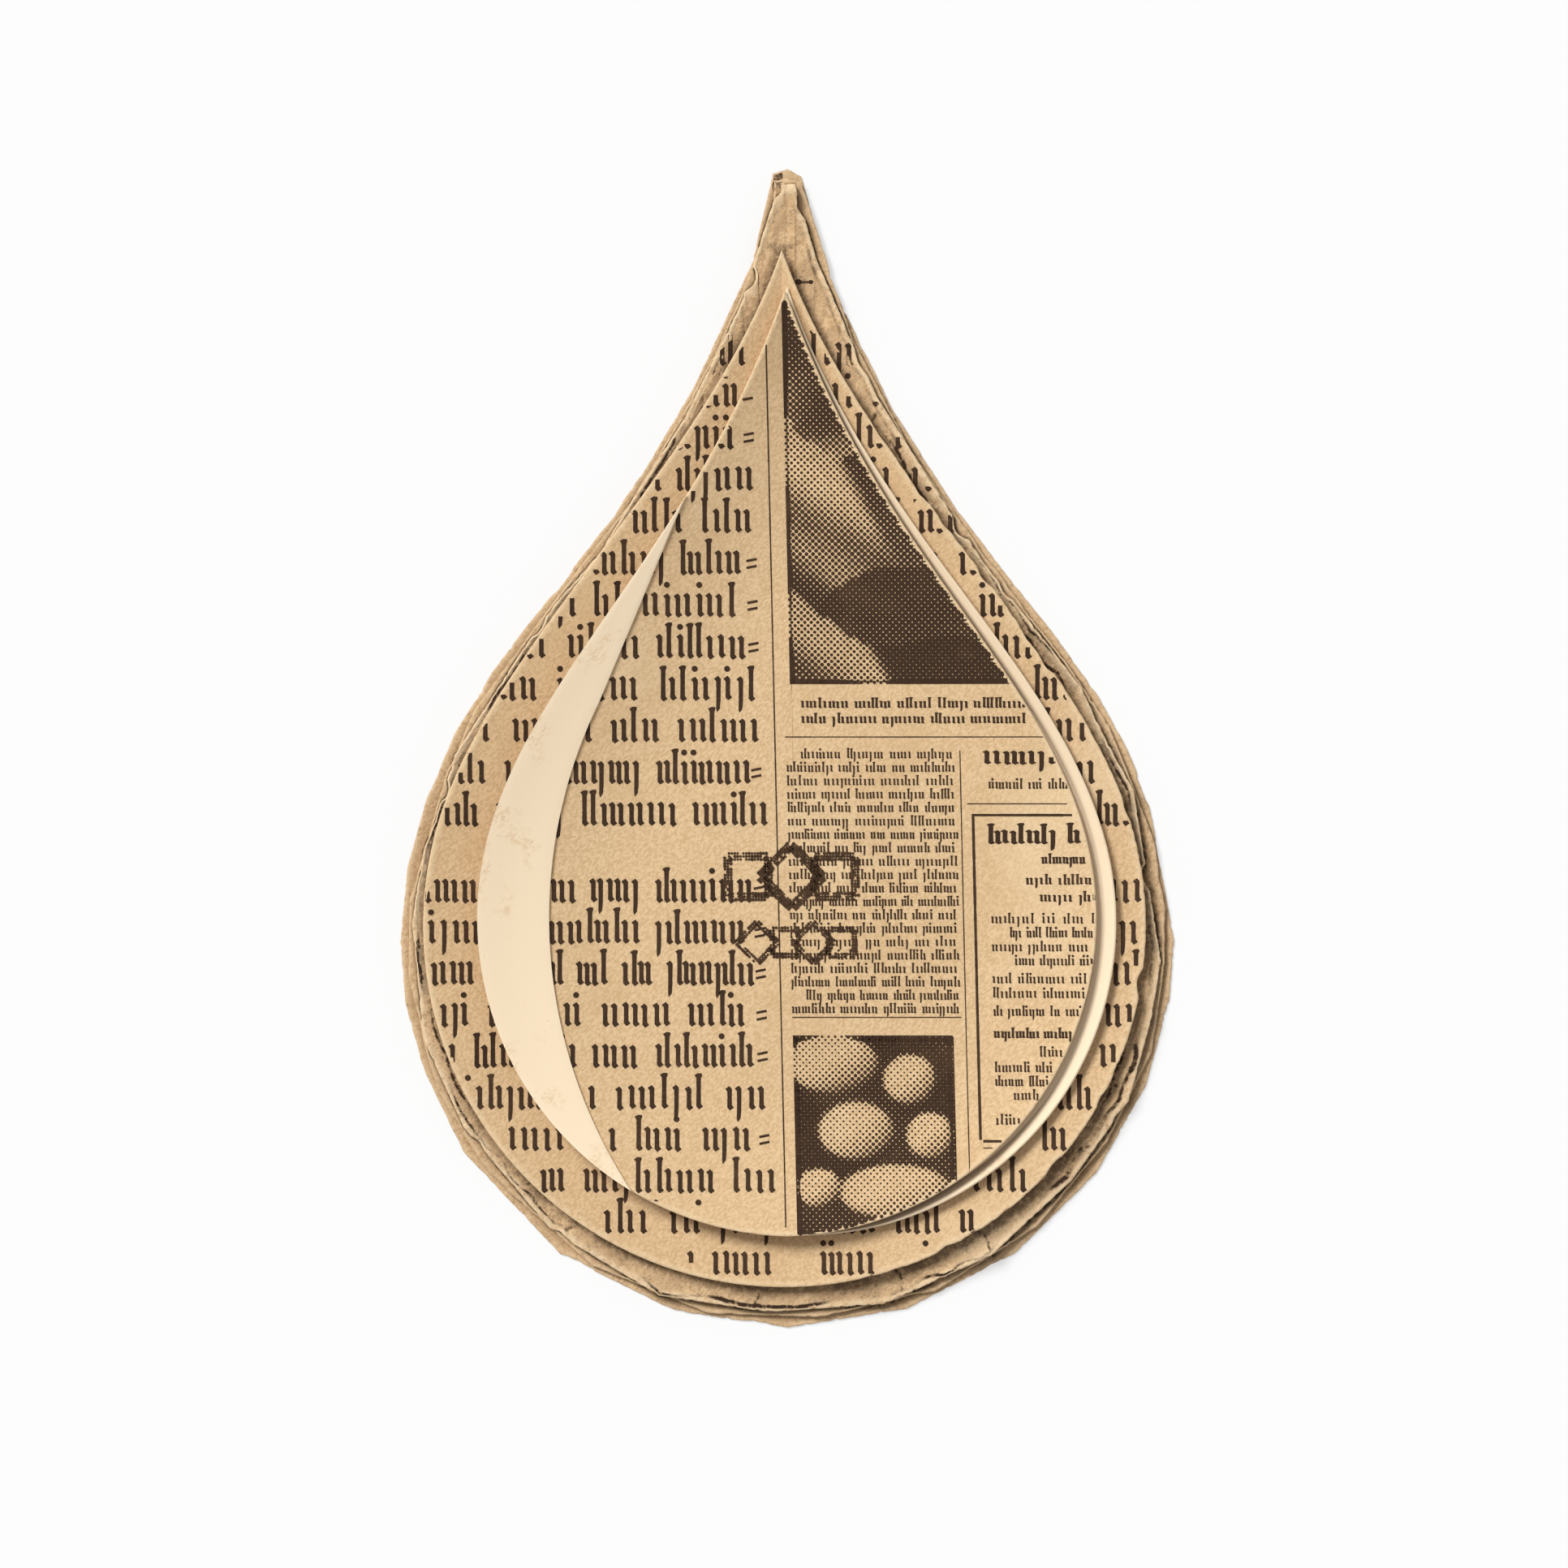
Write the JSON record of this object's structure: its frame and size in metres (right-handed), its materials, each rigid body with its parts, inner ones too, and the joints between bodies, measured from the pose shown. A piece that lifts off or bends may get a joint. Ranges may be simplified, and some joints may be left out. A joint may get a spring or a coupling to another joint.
{
  "type": "folded newspaper drop ornament",
  "caption": "Drop-shaped ornament cut from folded old newspaper: layered leaves with curled, crumpled rims, a pale rim leaf and a pale paper crescent.",
  "frame": {"origin": "middle of the back leaf's underside, centred on the object's width and height", "axes": "+Z out of the printed face, +Y towards the drop's tip, +X to the printed face's right"},
  "size_m": [0.1716, 0.257, 0.0098],
  "materials": {
    "back_newsprint": "old crumpled newsprint, matt",
    "middle_newsprint": "old crumpled newsprint, matt",
    "border_newsprint": "old crumpled newsprint, matt, soiled at its edge",
    "text_newsprint": "old printed newsprint, matt",
    "rim_newsprint": "smooth blank paper, matt",
    "front_newsprint": "old printed newsprint, matt",
    "blank_newsprint": "smooth blank paper, satin"
  },
  "bodies": {
    "root": {"back_leaf": "back_newsprint", "middle_leaf": "middle_newsprint", "border_leaf": "border_newsprint", "text_leaf": "text_newsprint", "rim_leaf": "rim_newsprint", "front_leaf": "front_newsprint", "highlight_crescent": "blank_newsprint"}
  },
  "joints": []
}
